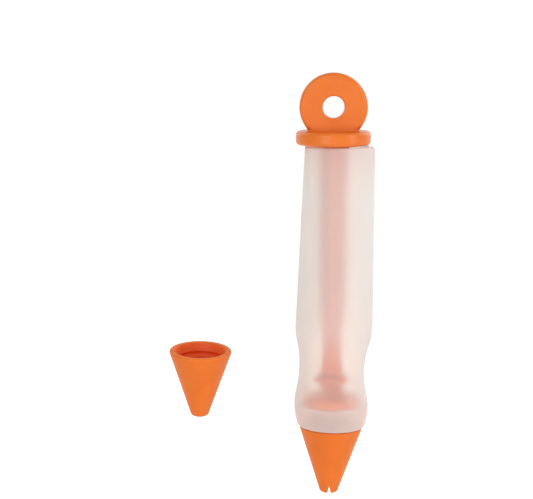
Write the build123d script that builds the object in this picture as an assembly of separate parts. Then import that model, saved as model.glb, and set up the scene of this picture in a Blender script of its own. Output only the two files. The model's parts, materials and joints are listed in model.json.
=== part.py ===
from build123d import *
from math import atan2, cos, radians, sin
import os

# Icing pen: a soft waisted barrel with the plunger pushed right in, a cone nozzle on the barrel's
# snout, and a spare nozzle that stands apart. Millimetres, +Z up. The origin is the centre of the
# hole in the ring handle, the pen hangs down from there, and its front faces -Y.

# Ring handle
ring_radius = 13.0
ring_thickness = 6.0
ring_edge_round = 1.5
hole_radius = 4.2
hole_edge_round = 0.6
flange_drop = 9.1  # from the hole's centre down to the flange's top face
flange_radius = 14.3
flange_thickness = 5.3
flange_edge_round = 1.4
ring_root_round = 0.5
socket_radius = 3.4
socket_depth = 3.6

# Barrel, a moulded sleeve of even wall. Its stations are measured up from the mouth
barrel_wall = 2.0
rear_radius = 13.45
rear_edge_round = 1.3
bore_edge_round = 0.4
belly_height = 39.3
belly_radius = 15.05
waist_height = 22.6
waist_radius = 12.8
bulge_height = 8.5
bulge_radius = 14.45
barrel_length = 109.6
mouth_radius = 13.1
mouth_edge_round = 0.6
knee_share = 0.35  # share of each S-curve that bends outwards, beside the belly and the bulge
barrel_lean = 1.5  # degrees to +X, as the soft barrel sits a little crooked on its plunger

# Snout, the cone in front of the barrel that carries the nozzle
snout_length = 8.0
snout_wall = 1.8
floor_thickness = 2.2  # between the barrel's chamber and its front shoulder
snout_edge_round = 0.5
bead_depth = 4.4  # from the shoulder down to the middle of the bead
bead_half_height = 0.9
bead_height = 0.42

# Nozzles
nozzle_length = 27.2
nozzle_rim_radius = 12.6
nozzle_tip_radius = 3.35
nozzle_wall = 2.4
nozzle_rim_round = 0.7
nozzle_bore_round = 0.35
nozzle_tip_round = 1.3
orifice_radius = 1.5
groove_height = 0.5
notch_count = 4
notch_width = 1.5
notch_height = 3.4

# Plunger rod
rib_top_width = 12.2
rib_shoulder_width = 11.3
rib_foot_width = 7.4
rib_shoulder_rise = 20.0  # from the top of the cone up to where the ribs start to narrow faster
rib_thickness = 2.4
rib_edge_round = 0.5
core_radius = 2.1
cone_length = 12.2
cone_top_radius = 2.9
cone_middle_radius = 4.0
cone_foot_radius = 4.55
stop_radius = 6.6
stop_thickness = 2.4
stop_edge_round = 0.6
spigot_radius = 2.4
spigot_length = 4.2
barb_radius = 3.1
barb_tip_radius = 1.6
barb_length = 2.0

# Piston, one soft moulding pressed over the barb of the rod
piston_above_bulge = 1.4  # from the bulge up to the middle of the lip
hub_radius = 4.6
hub_length = 6.0  # from the lip's upper edge up to the stop
hub_root_round = 0.8
lip_thickness = 3.0
lip_rise = 1.5  # how far the lip's top slopes up to the hub
lip_bevel = 0.7
lip_edge_round = 0.5
dish_depth = 1.2
dish_margin = 1.6

# Spare nozzle, from the origin to the middle of its rim
spare_left = 51.7
spare_behind = 10.0
spare_drop = 96.7
spare_tilt = 5.4  # degrees, its mouth turned a little to the front
spare_lean = 1.3  # degrees, its tip turned a little to the left

# Clearances
press_gap = 0.05
snout_gap = 0.12
wiper_gap = 0.4
end_gap = 0.4
cut_overrun = 1.0
same_place = 1e-4

# Heights worked out from the sizes above
flange_top = -flange_drop
flange_foot = flange_top - flange_thickness
barrel_top = flange_foot - rear_radius * sin(radians(barrel_lean))
barrel_mouth = barrel_top - barrel_length
pivot_height = barrel_mouth + bulge_height + piston_above_bulge
lip_top = pivot_height + lip_thickness / 2
stop_foot = lip_top + hub_length
stop_top = stop_foot + stop_thickness
cone_top = stop_top + cone_length
nozzle_slope = (nozzle_rim_radius - nozzle_tip_radius) / nozzle_length
barrel_place = Pos(0, 0, pivot_height) * Rot(0, barrel_lean, 0) * Pos(0, 0, -pivot_height)

stand_up = (Align.CENTER, Align.CENTER, Align.MIN)
hang_down = (Align.CENTER, Align.CENTER, Align.MAX)


def circles_at(shape, radius, height):
    """Circular edges of a turned shape with this radius at this height."""
    return [
        edge
        for edge in shape.edges().filter_by(GeomType.CIRCLE)
        if abs(edge.radius - radius) < same_place and abs(edge.arc_center.Z - height) < same_place
    ]


def s_curve(start, end, first_share):
    """Two arcs that leave start and reach end upright, meeting on the line between them."""
    across = end[0] - start[0]
    down = end[1] - start[1]
    middle = (start[0] + across * first_share, start[1] + down * first_share)
    whole = (across**2 + down**2) / (2 * across)
    return [
        RadiusArc(start, middle, -first_share * whole),
        RadiusArc(middle, end, (1 - first_share) * whole),
    ]


def sleeve_outline(inset, foot_radius, foot_height):
    """Side of the barrel from its rear rim down to the foot, set in from the outside."""
    rear = (rear_radius - inset, barrel_top)
    belly = (belly_radius - inset, barrel_mouth + belly_height)
    waist = (waist_radius - inset, barrel_mouth + waist_height)
    bulge = (bulge_radius - inset, barrel_mouth + bulge_height)
    across = belly[0] - waist[0]
    knee_radius = knee_share * (across**2 + (waist[1] - belly[1]) ** 2) / (2 * across)
    cone_angle = atan2(belly[0] - rear[0], rear[1] - belly[1])
    knee_start = (
        belly[0] - knee_radius * (1 - cos(cone_angle)),
        belly[1] + knee_radius * sin(cone_angle),
    )
    foot = (foot_radius, foot_height)
    fall = bulge[0] - foot_radius
    front_radius = (fall**2 + (bulge[1] - foot_height) ** 2) / (2 * fall)
    return [
        Line(rear, knee_start),
        RadiusArc(knee_start, belly, knee_radius),
        *s_curve(belly, waist, knee_share),
        *s_curve(waist, bulge, 1 - knee_share),
        RadiusArc(bulge, foot, front_radius),
    ]


def snout_radius(depth):
    """Outside of the snout at this depth below the shoulder, inside the nozzle's cone."""
    return nozzle_rim_radius - nozzle_wall - snout_gap - nozzle_slope * depth


def swelling(radius_at, depth, half_height, height, datum):
    """Arc standing out by height from a cone, centred at this depth below the datum."""
    upper = (radius_at(depth - half_height), datum - depth + half_height)
    lower = (radius_at(depth + half_height), datum - depth - half_height)
    crest = (radius_at(depth) + height, datum - depth)
    return upper, ThreePointArc(upper, crest, lower), lower


def turned_solid(lines):
    """Solid turned about Z from a closed outline drawn in the XZ plane."""
    return revolve(Plane.XZ * make_face(lines), Axis.Z)


def ring_handle():
    """Upright disc with the hanging hole, on a flange that has a blind socket for the rod."""
    disc = Rot(90, 0, 0) * Cylinder(ring_radius, ring_thickness)
    disc = fillet(disc.edges().filter_by(GeomType.CIRCLE), ring_edge_round)
    above = Pos(0, 0, flange_foot + flange_thickness / 2) * Box(
        ring_radius * 2 + cut_overrun,
        ring_thickness + cut_overrun,
        ring_radius * 2 + flange_drop,
        align=stand_up,
    )
    flange = Pos(0, 0, flange_top) * Cylinder(flange_radius, flange_thickness, align=hang_down)
    flange = fillet(flange.edges().filter_by(GeomType.CIRCLE), flange_edge_round)
    handle = flange + (disc & above)
    seam = [
        edge
        for edge in handle.edges()
        if abs(edge.bounding_box().max.Z - flange_top) < same_place
        and abs(edge.bounding_box().min.Z - flange_top) < same_place
        and edge.bounding_box().max.Y < ring_thickness
        and edge.bounding_box().min.Y > -ring_thickness
    ]
    handle = fillet(seam, ring_root_round)
    handle -= Rot(90, 0, 0) * Cylinder(hole_radius, ring_thickness + cut_overrun)
    rims = [
        edge
        for edge in handle.edges().filter_by(GeomType.CIRCLE)
        if abs(edge.radius - hole_radius) < same_place and abs(edge.arc_center.Z) < same_place
    ]
    handle = fillet(rims, hole_edge_round)
    return handle - Pos(0, 0, flange_foot) * Cylinder(socket_radius, socket_depth, align=stand_up)


def rib():
    """One blade of the cross-shaped rod, narrowing down to the cone, with its long edges rounded."""
    right_side = [
        (rib_top_width / 2, flange_foot),
        (rib_shoulder_width / 2, cone_top + rib_shoulder_rise),
        (rib_foot_width / 2, cone_top),
        (rib_foot_width / 2, stop_top),
    ]
    left_side = [(-across, height) for across, height in reversed(right_side)]
    blade = make_face(Polyline(*right_side, *left_side, close=True))
    plate = extrude(Plane.XZ * blade, rib_thickness / 2, both=True)
    long_edges = [edge for edge in plate.edges() if edge.bounding_box().size.Z > rib_thickness]
    return fillet(long_edges, rib_edge_round)


def rod_cone():
    """Cone with a slightly swollen side that carries the ribs' load down to the stop."""
    side = ThreePointArc(
        (cone_foot_radius, stop_top),
        (cone_middle_radius, (stop_top + cone_top) / 2),
        (cone_top_radius, cone_top),
    )
    return turned_solid([
        Line((0, stop_top), (cone_foot_radius, stop_top)),
        side,
        Line((cone_top_radius, cone_top), (0, cone_top)),
        Line((0, cone_top), (0, stop_top)),
    ])


def plunger_rod():
    """Cross-shaped rod that swells to a cone and a stop disc, with a head above and a barb below."""
    blade = rib()
    core = Pos(0, 0, stop_top) * Cylinder(core_radius, flange_foot - stop_top, align=stand_up)
    stop = Pos(0, 0, stop_top) * Cylinder(stop_radius, stop_thickness, align=hang_down)
    stop = fillet(stop.edges().filter_by(GeomType.CIRCLE), stop_edge_round)
    head = Pos(0, 0, flange_foot) * Cylinder(
        socket_radius - press_gap, socket_depth - end_gap, align=stand_up
    )
    spigot = Pos(0, 0, stop_foot) * Cylinder(spigot_radius, spigot_length, align=hang_down)
    barb = Pos(0, 0, stop_foot - spigot_length) * Cone(
        barb_tip_radius, barb_radius, barb_length, align=hang_down
    )
    return blade + Rot(0, 0, 90) * blade + core + rod_cone() + stop + head + spigot + barb


def piston():
    """Hub and sloping wiper lip in one soft piece, dished underneath, with a pocket for the barb."""
    lip_radius = bulge_radius - barrel_wall - wiper_gap
    lip_foot = lip_top - lip_thickness
    dish_radius = lip_radius - dish_margin
    side = Polyline(
        (0, stop_foot),
        (hub_radius, stop_foot),
        (hub_radius, lip_top + lip_rise),
        (lip_radius - lip_bevel, lip_top),
        (lip_radius, lip_top - lip_bevel),
        (lip_radius, lip_foot),
        (dish_radius, lip_foot),
    )
    curve = (dish_radius**2 + dish_depth**2) / (2 * dish_depth)
    middle = dish_radius / 2
    rise = dish_depth - curve + (curve**2 - middle**2) ** 0.5
    dish = ThreePointArc((dish_radius, lip_foot), (middle, lip_foot + rise), (0, lip_foot + dish_depth))
    whole = turned_solid([side, dish, Line((0, lip_foot + dish_depth), (0, stop_foot))])
    whole = fillet(circles_at(whole, lip_radius, lip_foot), lip_edge_round)
    whole = fillet(circles_at(whole, hub_radius, lip_top + lip_rise), hub_root_round)
    pocket = Pos(0, 0, stop_foot) * Cylinder(spigot_radius + press_gap, spigot_length, align=hang_down)
    pocket += Pos(0, 0, stop_foot - spigot_length + press_gap) * Cone(
        barb_tip_radius + press_gap, barb_radius + press_gap, barb_length + end_gap, align=hang_down
    )
    return whole - pocket


def barrel():
    """Waisted sleeve, open behind, with a shoulder in front and the beaded snout below it."""
    bore_foot_height = barrel_mouth + floor_thickness + barrel_wall / 2
    throat_height = barrel_mouth + floor_thickness / 2
    snout_foot = barrel_mouth - snout_length
    outside = sleeve_outline(0, mouth_radius, barrel_mouth)
    bead_start, bead, bead_end = swelling(
        snout_radius, bead_depth, bead_half_height, bead_height, barrel_mouth
    )
    root = (snout_radius(0), barrel_mouth)
    tip = (snout_radius(snout_length), snout_foot)
    bore_foot = (mouth_radius - barrel_wall, bore_foot_height)
    throat = (snout_radius(0) - snout_wall, throat_height)
    inside = sleeve_outline(barrel_wall, *bore_foot)
    sleeve = turned_solid([
        *outside,
        Line((mouth_radius, barrel_mouth), root),
        Line(root, bead_start),
        bead,
        Line(bead_end, tip),
        Line(tip, (tip[0] - snout_wall, snout_foot)),
        Line((tip[0] - snout_wall, snout_foot), throat),
        Line(throat, bore_foot),
        *inside,
        Line((rear_radius - barrel_wall, barrel_top), (rear_radius, barrel_top)),
    ])
    sleeve = fillet(circles_at(sleeve, rear_radius, barrel_top), rear_edge_round)
    sleeve = fillet(circles_at(sleeve, rear_radius - barrel_wall, barrel_top), bore_edge_round)
    sleeve = fillet(circles_at(sleeve, mouth_radius, barrel_mouth), mouth_edge_round)
    sleeve = fillet(circles_at(sleeve, tip[0], snout_foot), snout_edge_round)
    return barrel_place * sleeve


def cone_radius(depth):
    """Inside of the nozzle at this depth below its rim."""
    return nozzle_rim_radius - nozzle_wall - nozzle_slope * depth


def nozzle_shell():
    """Hollow cone with its rim at height zero, a groove for the bead and a round orifice."""
    throat_depth = (nozzle_rim_radius - nozzle_wall - orifice_radius) / nozzle_slope
    groove_start, groove, groove_end = swelling(
        cone_radius, bead_depth, bead_half_height + snout_gap, groove_height, 0
    )
    shell = turned_solid([
        Line((nozzle_rim_radius, 0), (nozzle_tip_radius, -nozzle_length)),
        Line((nozzle_tip_radius, -nozzle_length), (orifice_radius, -nozzle_length)),
        Line((orifice_radius, -nozzle_length), (orifice_radius, -throat_depth)),
        Line((orifice_radius, -throat_depth), groove_end),
        groove,
        Line(groove_start, (cone_radius(0), 0)),
        Line((cone_radius(0), 0), (nozzle_rim_radius, 0)),
    ])
    shell = fillet(circles_at(shell, nozzle_rim_radius, 0), nozzle_rim_round)
    shell = fillet(circles_at(shell, cone_radius(0), 0), nozzle_bore_round)
    return fillet(circles_at(shell, nozzle_tip_radius, -nozzle_length), nozzle_tip_round)


def tip_notches():
    """Wedges that cut V-shaped notches through the tip, from the orifice outwards."""
    wedge = make_face(Polyline(
        (-notch_width / 2, -nozzle_length),
        (0, notch_height - nozzle_length),
        (notch_width / 2, -nozzle_length),
        close=True,
    ))
    cutter = extrude(Plane.XZ * wedge, nozzle_rim_radius)
    return [Rot(0, 0, turn * 360 / notch_count) * cutter for turn in range(notch_count)]


def nozzle():
    """Fitted nozzle with a notched tip, its rim against the barrel's shoulder."""
    shell = nozzle_shell() - tip_notches()
    return barrel_place * Pos(0, 0, barrel_mouth) * shell


def spare_nozzle():
    """Spare nozzle with a plain round tip, standing apart from the pen."""
    return Pos(-spare_left, spare_behind, -spare_drop) * Rot(spare_tilt, spare_lean, 0) * nozzle_shell()


parts = {
    "ring_handle": ring_handle(),
    "plunger_rod": plunger_rod(),
    "piston": piston(),
    "barrel": barrel(),
    "nozzle": nozzle(),
    "spare_nozzle": spare_nozzle(),
}

os.makedirs("parts", exist_ok=True)
for name, shape in parts.items():
    export_step(shape, f"parts/{name}.step")
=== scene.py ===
import bpy
import json
import math
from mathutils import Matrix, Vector


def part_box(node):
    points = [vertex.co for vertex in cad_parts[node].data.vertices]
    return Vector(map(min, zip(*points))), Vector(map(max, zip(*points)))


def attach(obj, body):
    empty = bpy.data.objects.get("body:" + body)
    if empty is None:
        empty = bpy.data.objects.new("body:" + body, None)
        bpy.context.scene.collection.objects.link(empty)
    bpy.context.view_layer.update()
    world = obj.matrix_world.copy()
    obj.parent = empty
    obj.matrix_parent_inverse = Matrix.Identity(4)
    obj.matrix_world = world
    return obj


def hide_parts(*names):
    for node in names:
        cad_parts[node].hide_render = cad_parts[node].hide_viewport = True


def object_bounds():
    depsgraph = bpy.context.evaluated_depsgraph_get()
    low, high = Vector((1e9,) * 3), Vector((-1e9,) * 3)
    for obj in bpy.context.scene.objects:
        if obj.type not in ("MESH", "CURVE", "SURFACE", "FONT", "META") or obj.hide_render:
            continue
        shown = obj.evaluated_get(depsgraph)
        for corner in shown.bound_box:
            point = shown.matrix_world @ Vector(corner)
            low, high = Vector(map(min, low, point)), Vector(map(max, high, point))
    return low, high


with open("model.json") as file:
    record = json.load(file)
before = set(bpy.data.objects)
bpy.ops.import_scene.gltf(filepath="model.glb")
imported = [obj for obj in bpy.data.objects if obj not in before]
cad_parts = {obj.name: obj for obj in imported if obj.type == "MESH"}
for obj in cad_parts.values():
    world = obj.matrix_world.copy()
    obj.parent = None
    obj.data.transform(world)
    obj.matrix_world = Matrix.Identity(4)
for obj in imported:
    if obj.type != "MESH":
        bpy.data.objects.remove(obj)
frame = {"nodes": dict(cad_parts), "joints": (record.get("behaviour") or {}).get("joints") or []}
cad_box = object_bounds()
nodes = frame["nodes"]

# Camera, as the photograph was taken: a long lens a little left of the pen and above its middle
CAMERA_LENS = 98.6  # millimetres on the sensor width below
SENSOR_WIDTH = 36.0
CAMERA_PLACE = (-0.0255, -0.557, 0.0299)
CAMERA_PITCH = math.radians(8.65)  # downwards
CAMERA_REACH = (0.05, 50.0)

# Studio
FLOOR_DROP = 0.03  # from the lowest point that the nozzle can reach down to the floor
FLOOR_SIZE = 8.0
DRAWN_DOWN = ("barrel_slide", "nozzle_pull")  # joints that bring the nozzle nearer to the floor
FLOOR_COLOUR = (0.9, 0.9, 0.9)
FLOOR_ROUGHNESS = 0.9
FLOOR_LIFT = 0.67  # brightness added where the floor is seen
BACKDROP_WHITE = 1.0
WHITE = (1.0, 1.0, 1.0)
ROOM_LIGHT = 0.455
ROOM_COLOUR = (1.0, 0.955, 0.84)
LAMP_AIM = (0, 0, -0.07)
LAMPS = {  # place, size and watts of each soft lamp
    "left": ((-0.45, -0.9, 0.3), (0.6, 0.9), 3.55),
    "right": ((0.87, -0.5, 0.3), (0.25, 0.9), 3.8),
    "low": ((-0.1, -1.1, -0.02), (2.0, 0.25), 1.7),
    "back_right": ((0.8, 0.8, 0.4), (0.6, 0.9), 2.5),
    "back_left": ((-0.8, 0.8, 0.4), (0.6, 0.9), 2.0),
}

# Noises: scale, in features per metre, and detail
MOTTLE_NOISE = (90, 3)
FINISH_NOISE = (300, 4)
GRAIN_NOISE = (2600, 3)
CLOUD_NOISE = (60, 3)
FROST_NOISE = (240, 3)
FROST_GRAIN_NOISE = (2200, 3)
NOISE_MIDDLE = (0.3, 0.7)  # most of a noise lies in this range

# Orange mouldings: the two colours of their faint mottle, and the colour of the shade painted into a
# hollow
HANDLE_ORANGE = ((0.76, 0.155, 0.004), (0.82, 0.18, 0.007))
ROD_ORANGE = ((0.74, 0.165, 0.045), (0.80, 0.185, 0.055))
PISTON_ORANGE = ((0.89, 0.24, 0.06), (0.93, 0.26, 0.07))
NOZZLE_ORANGE = ((0.80, 0.16, 0.006), (0.86, 0.18, 0.01))
# painted shade: colours that the mouldings darken to in hollows and where they meet a neighbour
HANDLE_PAINTED_SHADE = (0.45, 0.05, 0.0)
ROD_PAINTED_SHADE = (0.20, 0.03, 0.02)
PISTON_PAINTED_SHADE = (0.16, 0.03, 0.03)
NOZZLE_PAINTED_SHADE = (0.30, 0.03, 0.002)
SPARE_PAINTED_SHADE = (0.78, 0.02, 0.0)
HANDLE_HOLLOWS = 0.0025  # how near a wall has to be for shade to be painted into a hollow, in metres
ROD_HOLLOWS = 0.008
PISTON_HOLLOWS = 0.015
NOZZLE_HOLLOWS = 0.0015
SPARE_HOLLOWS = 0.02
HOLLOW_SAMPLES = 12
PLASTIC_FINISH = (0.27, 0.35)  # roughness, from the smoothest spots to the roughest
PISTON_FINISH = (0.15, 0.22)
NOZZLE_FINISH = (0.5, 0.6)
ORANGE_INDEX = 1.45
PLASTIC_GRAIN = 0.000012  # depth of the fine grain, in metres
SILICONE_GRAIN = 0.00001
HUB_RADII = (0.0045, 0.009)  # between these the painted shade round the piston's hub fades out, in metres
HUB_LIGHT = 0.75  # share of light left at the hub by the painted shade

# Frosted sleeve, in metres where nothing else is said
SILICONE_INDEX = 1.3
MILK = ((0.95, 0.93, 0.93), (0.98, 0.96, 0.96))
BORE_TINT = ((0.97, 0.89, 0.80), (0.99, 0.91, 0.83))
BORE_FINISH = (0.1, 0.15)
FROST_UNEVEN = 0.02  # how much the roughness varies either way
CLEAR_STRETCH = (0.012, 0.024)  # above the piston, where the clearer front turns milkier
FRONT_ROUGHNESS = 0.5
REAR_ROUGHNESS = 0.76
FRONT_CLEARNESS = 0.74
REAR_CLEARNESS = 0.57
MOUTH_CLEARNESS = 0.42
MOUTH_STRETCH = (-0.001, 0.002)  # from the piston's foot, where the milky mouth turns clearer
SLANT_BLEND = 0.5
SLANT_MILK = 0.9  # share of the clearness lost where the wall is seen edge on
PAINTED_BOUNCE_PINK = (0.97, 0.80, 0.76)  # painted reflection: pink light that the orange pieces bounce into the milk, painted into its colour
MOUTH_PAINTED_BOUNCE = (-0.001, 0.003)  # from the piston's foot, where the mouth's full painted pink fades out
FRONT_PAINTED_BOUNCE = (0.0, 0.05)  # above the piston, where a fainter painted pink fades out
FRONT_PAINTED_BOUNCE_SHARE = 0.35
REAR_PAINTED_BOUNCE = 0.02  # length of the rear end that gets pink painted in, as light from the flange
REAR_PAINTED_BOUNCE_SHARE = 0.4
WAIST_BOW = 0.00038  # how far the soft sleeve bows to the left at its waist
WAIST_HEIGHT = 0.0195  # from the sleeve's mouth up to its waist
BOW_REACH = 0.02  # from the waist up or down to where the bow has faded


def node_material(name):
    """New material with an empty node tree, its output and a Principled shader."""
    material = bpy.data.materials.new(name)
    material.use_nodes = True
    tree = material.node_tree
    tree.nodes.clear()
    output = tree.nodes.new("ShaderNodeOutputMaterial")
    shader = tree.nodes.new("ShaderNodeBsdfPrincipled")
    tree.links.new(shader.outputs["BSDF"], output.inputs["Surface"])
    return material, tree, shader


def ramp(tree, value, source, target, smooth=False):
    """Map one range of a value onto another, and hold it beyond the ends."""
    node = tree.nodes.new("ShaderNodeMapRange")
    if smooth:
        node.interpolation_type = "SMOOTHSTEP"
    for side, ends in (("From", source), ("To", target)):
        for end, number in zip(("Min", "Max"), ends):
            node.inputs[f"{side} {end}"].default_value = number
    tree.links.new(value, node.inputs["Value"])
    return node.outputs["Result"]


def noise(tree, kind):
    """Noise texture in the frame's own metres, so that it has the same grain on every piece."""
    place = tree.nodes.new("ShaderNodeTexCoord")
    texture = tree.nodes.new("ShaderNodeTexNoise")
    for socket, number in zip(("Scale", "Detail"), kind):
        texture.inputs[socket].default_value = number
    tree.links.new(place.outputs["Object"], texture.inputs["Vector"])
    return texture.outputs["Fac"]


def speckle(tree, kind, low=0, high=1):
    """Noise that runs from a low value to a high one."""
    return ramp(tree, noise(tree, kind), NOISE_MIDDLE, (low, high))


def mix(tree, factor, first, second, blend="MIX"):
    """Mix two colours by a factor. Each is three numbers or another node's output."""
    node = tree.nodes.new("ShaderNodeMix")
    node.data_type = "RGBA"
    node.blend_type = blend
    for socket, colour in (("A", first), ("B", second)):
        if isinstance(colour, tuple):
            node.inputs[socket].default_value = (*colour, 1)
        else:
            tree.links.new(colour, node.inputs[socket])
    tree.links.new(factor, node.inputs["Factor"])
    return node.outputs["Result"]


def combine(tree, operation, first, second):
    """Two values put together by a plain operation."""
    node = tree.nodes.new("ShaderNodeMath")
    node.operation = operation
    tree.links.new(first, node.inputs[0])
    tree.links.new(second, node.inputs[1])
    return node.outputs["Value"]


def bump(tree, height, depth):
    """Normal from a height, with the depth of its grain in metres."""
    node = tree.nodes.new("ShaderNodeBump")
    node.inputs["Strength"].default_value = 1.0
    node.inputs["Distance"].default_value = depth
    tree.links.new(height, node.inputs["Height"])
    return node.outputs["Normal"]


def along_height(tree, heights, values):
    """The first value below the first height, the second above the second, smooth between them."""
    place = tree.nodes.new("ShaderNodeTexCoord")
    parts = tree.nodes.new("ShaderNodeSeparateXYZ")
    tree.links.new(place.outputs["Object"], parts.inputs["Vector"])
    return ramp(tree, parts.outputs["Z"], heights, values, smooth=True)


def openness(tree, reach, alone):
    """1 on open surfaces and less in a hollow of the piece, alone or with its neighbours; it sets
    where shade is painted.
    """
    node = tree.nodes.new("ShaderNodeAmbientOcclusion")
    node.samples = HOLLOW_SAMPLES
    node.only_local = alone
    node.inputs["Distance"].default_value = reach
    return node.outputs["AO"]


def hub_shade(tree):
    """Painted shade: share of light left in the piston's colour, less at its hub, between the rod's
    stop and the lip.
    """
    place = tree.nodes.new("ShaderNodeTexCoord")
    flat = tree.nodes.new("ShaderNodeVectorMath")
    flat.operation = "MULTIPLY"
    flat.inputs[1].default_value = (1, 1, 0)
    radius = tree.nodes.new("ShaderNodeVectorMath")
    radius.operation = "LENGTH"
    tree.links.new(place.outputs["Object"], flat.inputs[0])
    tree.links.new(flat.outputs["Vector"], radius.inputs[0])
    return ramp(tree, radius.outputs["Value"], HUB_RADII, (HUB_LIGHT, 1), smooth=True)


def orange_moulding(name, shades, shade_colour, finish, grain, reach, alone=True, hub=False):
    """Moulded orange plastic or silicone, faintly mottled, with shade painted darker into its hollows,
    finely grained.
    """
    material, tree, shader = node_material(name)
    light = openness(tree, reach, alone)
    if hub:
        light = combine(tree, "MULTIPLY", light, hub_shade(tree))
    # painted shade: the colour turns toward the shade colour where the hollow, or the piston's hub,
    # gets less light
    colour = mix(tree, light, shade_colour, mix(tree, speckle(tree, MOTTLE_NOISE), *shades))
    tree.links.new(colour, shader.inputs["Base Color"])
    tree.links.new(speckle(tree, FINISH_NOISE, *finish), shader.inputs["Roughness"])
    tree.links.new(bump(tree, noise(tree, GRAIN_NOISE), grain), shader.inputs["Normal"])
    shader.inputs["IOR"].default_value = ORANGE_INDEX
    return material


def edge_on(tree):
    """Share of the clearness that is left, less where the light has to cross the wall at a slant."""
    slant = tree.nodes.new("ShaderNodeLayerWeight")
    slant.inputs["Blend"].default_value = SLANT_BLEND
    return ramp(tree, slant.outputs["Facing"], (0, 1), (1, 1 - SLANT_MILK))


def painted_bounce_share(tree):
    """How much painted pink, light bounced from the orange pieces, the milk takes: all at the mouth,
    some round the waist and at the rear end.
    """
    piston_low, piston_top = (corner.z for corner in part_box("piston"))
    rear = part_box("barrel")[1].z
    mouth = along_height(tree, [piston_low + height for height in MOUTH_PAINTED_BOUNCE], (1, 0))
    front = along_height(tree, [piston_top + height for height in FRONT_PAINTED_BOUNCE], (FRONT_PAINTED_BOUNCE_SHARE, 0))
    back = along_height(tree, (rear - REAR_PAINTED_BOUNCE, rear), (0, REAR_PAINTED_BOUNCE_SHARE))
    return combine(tree, "MAXIMUM", combine(tree, "MAXIMUM", mouth, front), back)


def frosted_outside():
    """Milky face of the sleeve, which blurs what is behind it. It is clearest round the piston."""
    material, tree, shader = node_material("frosted_outside")
    piston_low, piston_top = (corner.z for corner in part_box("piston"))
    behind = [piston_top + height for height in CLEAR_STRETCH]
    mouth = [piston_low + height for height in MOUTH_STRETCH]

    milk = mix(tree, speckle(tree, CLOUD_NOISE), *MILK)
    # painted reflection: pink from the orange pieces multiplied into the milk
    colour = mix(tree, painted_bounce_share(tree), milk, PAINTED_BOUNCE_PINK, "MULTIPLY")
    tree.links.new(colour, shader.inputs["Base Color"])

    frost = along_height(tree, behind, (FRONT_ROUGHNESS, REAR_ROUGHNESS))
    uneven = speckle(tree, FROST_NOISE, -FROST_UNEVEN, FROST_UNEVEN)
    tree.links.new(combine(tree, "ADD", frost, uneven), shader.inputs["Roughness"])

    clear = combine(
        tree, "MINIMUM",
        along_height(tree, behind, (FRONT_CLEARNESS, REAR_CLEARNESS)),
        along_height(tree, mouth, (MOUTH_CLEARNESS, FRONT_CLEARNESS)),
    )
    clear = combine(tree, "MULTIPLY", clear, edge_on(tree))
    tree.links.new(clear, shader.inputs["Transmission Weight"])

    tree.links.new(bump(tree, noise(tree, FROST_GRAIN_NOISE), SILICONE_GRAIN), shader.inputs["Normal"])
    shader.inputs["IOR"].default_value = SILICONE_INDEX
    return material


def frosted_inside():
    """Smoother face of the sleeve's bore, which tints the light that passes a little warm."""
    material, tree, shader = node_material("frosted_inside")
    tint = mix(tree, speckle(tree, CLOUD_NOISE), *BORE_TINT)
    tree.links.new(tint, shader.inputs["Base Color"])
    tree.links.new(speckle(tree, FROST_NOISE, *BORE_FINISH), shader.inputs["Roughness"])
    tree.links.new(bump(tree, noise(tree, FROST_GRAIN_NOISE), SILICONE_GRAIN), shader.inputs["Normal"])
    shader.inputs["Transmission Weight"].default_value = 1.0
    shader.inputs["IOR"].default_value = SILICONE_INDEX
    return material


def frosted_sleeve():
    """The soft barrel, bowed a little at its waist, with a milky outside and a smoother bore."""
    slide = next(joint for joint in frame["joints"] if joint["name"] == "barrel_slide")
    axis = Vector(slide["axis"])
    low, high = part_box("piston")
    middle = (low + high) / 2
    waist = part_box("nozzle")[1].z + WAIST_HEIGHT
    mesh = nodes["barrel"].data.copy()
    mesh.materials.clear()
    mesh.materials.append(frosted_outside())
    mesh.materials.append(frosted_inside())
    for face in mesh.polygons:
        spoke = face.center - middle
        spoke -= axis * spoke.dot(axis)
        face.material_index = 0 if spoke.dot(face.normal) > 0 else 1
    for vertex in mesh.vertices:
        fade = min(abs(vertex.co.z - waist) / BOW_REACH, 1)
        vertex.co.x -= WAIST_BOW * (1 + math.cos(math.pi * fade)) / 2
    made = bpy.data.objects.new("frosted_sleeve", mesh)
    bpy.context.scene.collection.objects.link(made)
    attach(made, "barrel")
    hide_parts("barrel")


def give(name, material):
    """Put a material on a CAD node."""
    mesh = nodes[name].data
    mesh.materials.clear()
    mesh.materials.append(material)


def plain_sight(tree):
    """1 for rays that see the background, straight or through gloss or glass, and 0 for light."""
    rays = tree.nodes.new("ShaderNodeLightPath")
    seen = rays.outputs["Is Camera Ray"]
    for kind in ("Is Glossy Ray", "Is Transmission Ray"):
        seen = combine(tree, "MAXIMUM", seen, rays.outputs[kind])
    return seen


def pale_floor():
    """Pale matt floor that looks white but for the object's shadow."""
    material, tree, shader = node_material("pale_floor")
    shader.inputs["Base Color"].default_value = (*FLOOR_COLOUR, 1)
    shader.inputs["Roughness"].default_value = FLOOR_ROUGHNESS
    shader.inputs["Specular IOR Level"].default_value = 0
    lift = ramp(tree, plain_sight(tree), (0, 1), (0, FLOOR_LIFT))
    tree.links.new(lift, shader.inputs["Emission Strength"])
    shader.inputs["Emission Color"].default_value = (*WHITE, 1)
    return material


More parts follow.
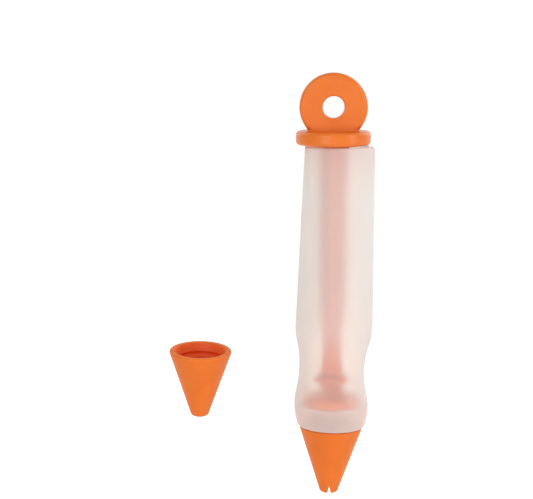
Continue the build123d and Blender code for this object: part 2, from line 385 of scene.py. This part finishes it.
def white_room():
    """World that lights evenly and shows white to the camera and through gloss and glass."""
    world = bpy.data.worlds.new("studio")
    bpy.context.scene.world = world
    world.use_nodes = True
    tree = world.node_tree
    tree.nodes.clear()
    output = tree.nodes.new("ShaderNodeOutputWorld")
    choice = tree.nodes.new("ShaderNodeMixShader")
    tree.links.new(plain_sight(tree), choice.inputs["Fac"])
    for slot, colour, strength in ((1, ROOM_COLOUR, ROOM_LIGHT), (2, WHITE, BACKDROP_WHITE)):
        light = tree.nodes.new("ShaderNodeBackground")
        light.inputs["Color"].default_value = (*colour, 1)
        light.inputs["Strength"].default_value = strength
        tree.links.new(light.outputs["Background"], choice.inputs[slot])
    tree.links.new(choice.outputs["Shader"], output.inputs["Surface"])


def soft_lamp(name, place, size, power):
    """Oblong area lamp turned to the pen."""
    data = bpy.data.lights.new(name, "AREA")
    data.shape = "RECTANGLE"
    data.size, data.size_y = size
    data.energy = power
    lamp = bpy.data.objects.new(name, data)
    lamp.location = place
    lamp.rotation_euler = (Vector(LAMP_AIM) - Vector(place)).to_track_quat("-Z", "Y").to_euler()
    bpy.context.scene.collection.objects.link(lamp)


def camera():
    """Camera of the photograph."""
    data = bpy.data.cameras.new("camera")
    data.lens = CAMERA_LENS
    data.sensor_width = SENSOR_WIDTH
    data.clip_start, data.clip_end = CAMERA_REACH
    made = bpy.data.objects.new("camera", data)
    made.location = CAMERA_PLACE
    made.rotation_euler = (math.pi / 2 - CAMERA_PITCH, 0, 0)
    bpy.context.scene.collection.objects.link(made)
    bpy.context.scene.camera = made


def floor():
    """Pale floor, clear of the nozzle also where the barrel and the nozzle are drawn down."""
    mesh = bpy.data.meshes.new("floor")
    half = FLOOR_SIZE / 2
    drawn = sum(joint["range_m"][1] for joint in frame["joints"] if joint["name"] in DRAWN_DOWN)
    height = cad_box[0].z - drawn - FLOOR_DROP
    mesh.from_pydata(
        [(-half, -half, height), (half, -half, height), (half, half, height), (-half, half, height)],
        [], [(0, 1, 2, 3)],
    )
    mesh.materials.append(pale_floor())
    made = bpy.data.objects.new("floor", mesh)
    bpy.context.scene.collection.objects.link(made)


give("ring_handle", orange_moulding(
    "handle_plastic", HANDLE_ORANGE, HANDLE_PAINTED_SHADE, PLASTIC_FINISH, PLASTIC_GRAIN, HANDLE_HOLLOWS,
))
give("plunger_rod", orange_moulding(
    "rod_plastic", ROD_ORANGE, ROD_PAINTED_SHADE, PLASTIC_FINISH, PLASTIC_GRAIN, ROD_HOLLOWS,
))
# the piston gets painted shade in its hollows and round its hub
give("piston", orange_moulding(
    "piston_silicone", PISTON_ORANGE, PISTON_PAINTED_SHADE, PISTON_FINISH, SILICONE_GRAIN, PISTON_HOLLOWS,
    hub=True,
))
give("nozzle", orange_moulding(
    "nozzle_silicone", NOZZLE_ORANGE, NOZZLE_PAINTED_SHADE, NOZZLE_FINISH, SILICONE_GRAIN, NOZZLE_HOLLOWS,
    alone=False,
))
give("spare_nozzle", orange_moulding(
    "spare_silicone", NOZZLE_ORANGE, SPARE_PAINTED_SHADE, NOZZLE_FINISH, SILICONE_GRAIN, SPARE_HOLLOWS,
))
frosted_sleeve()

white_room()
camera()
floor()
for name, (place, size, power) in LAMPS.items():
    soft_lamp(name, place, size, power)
bpy.context.scene.view_settings.view_transform = "Standard"
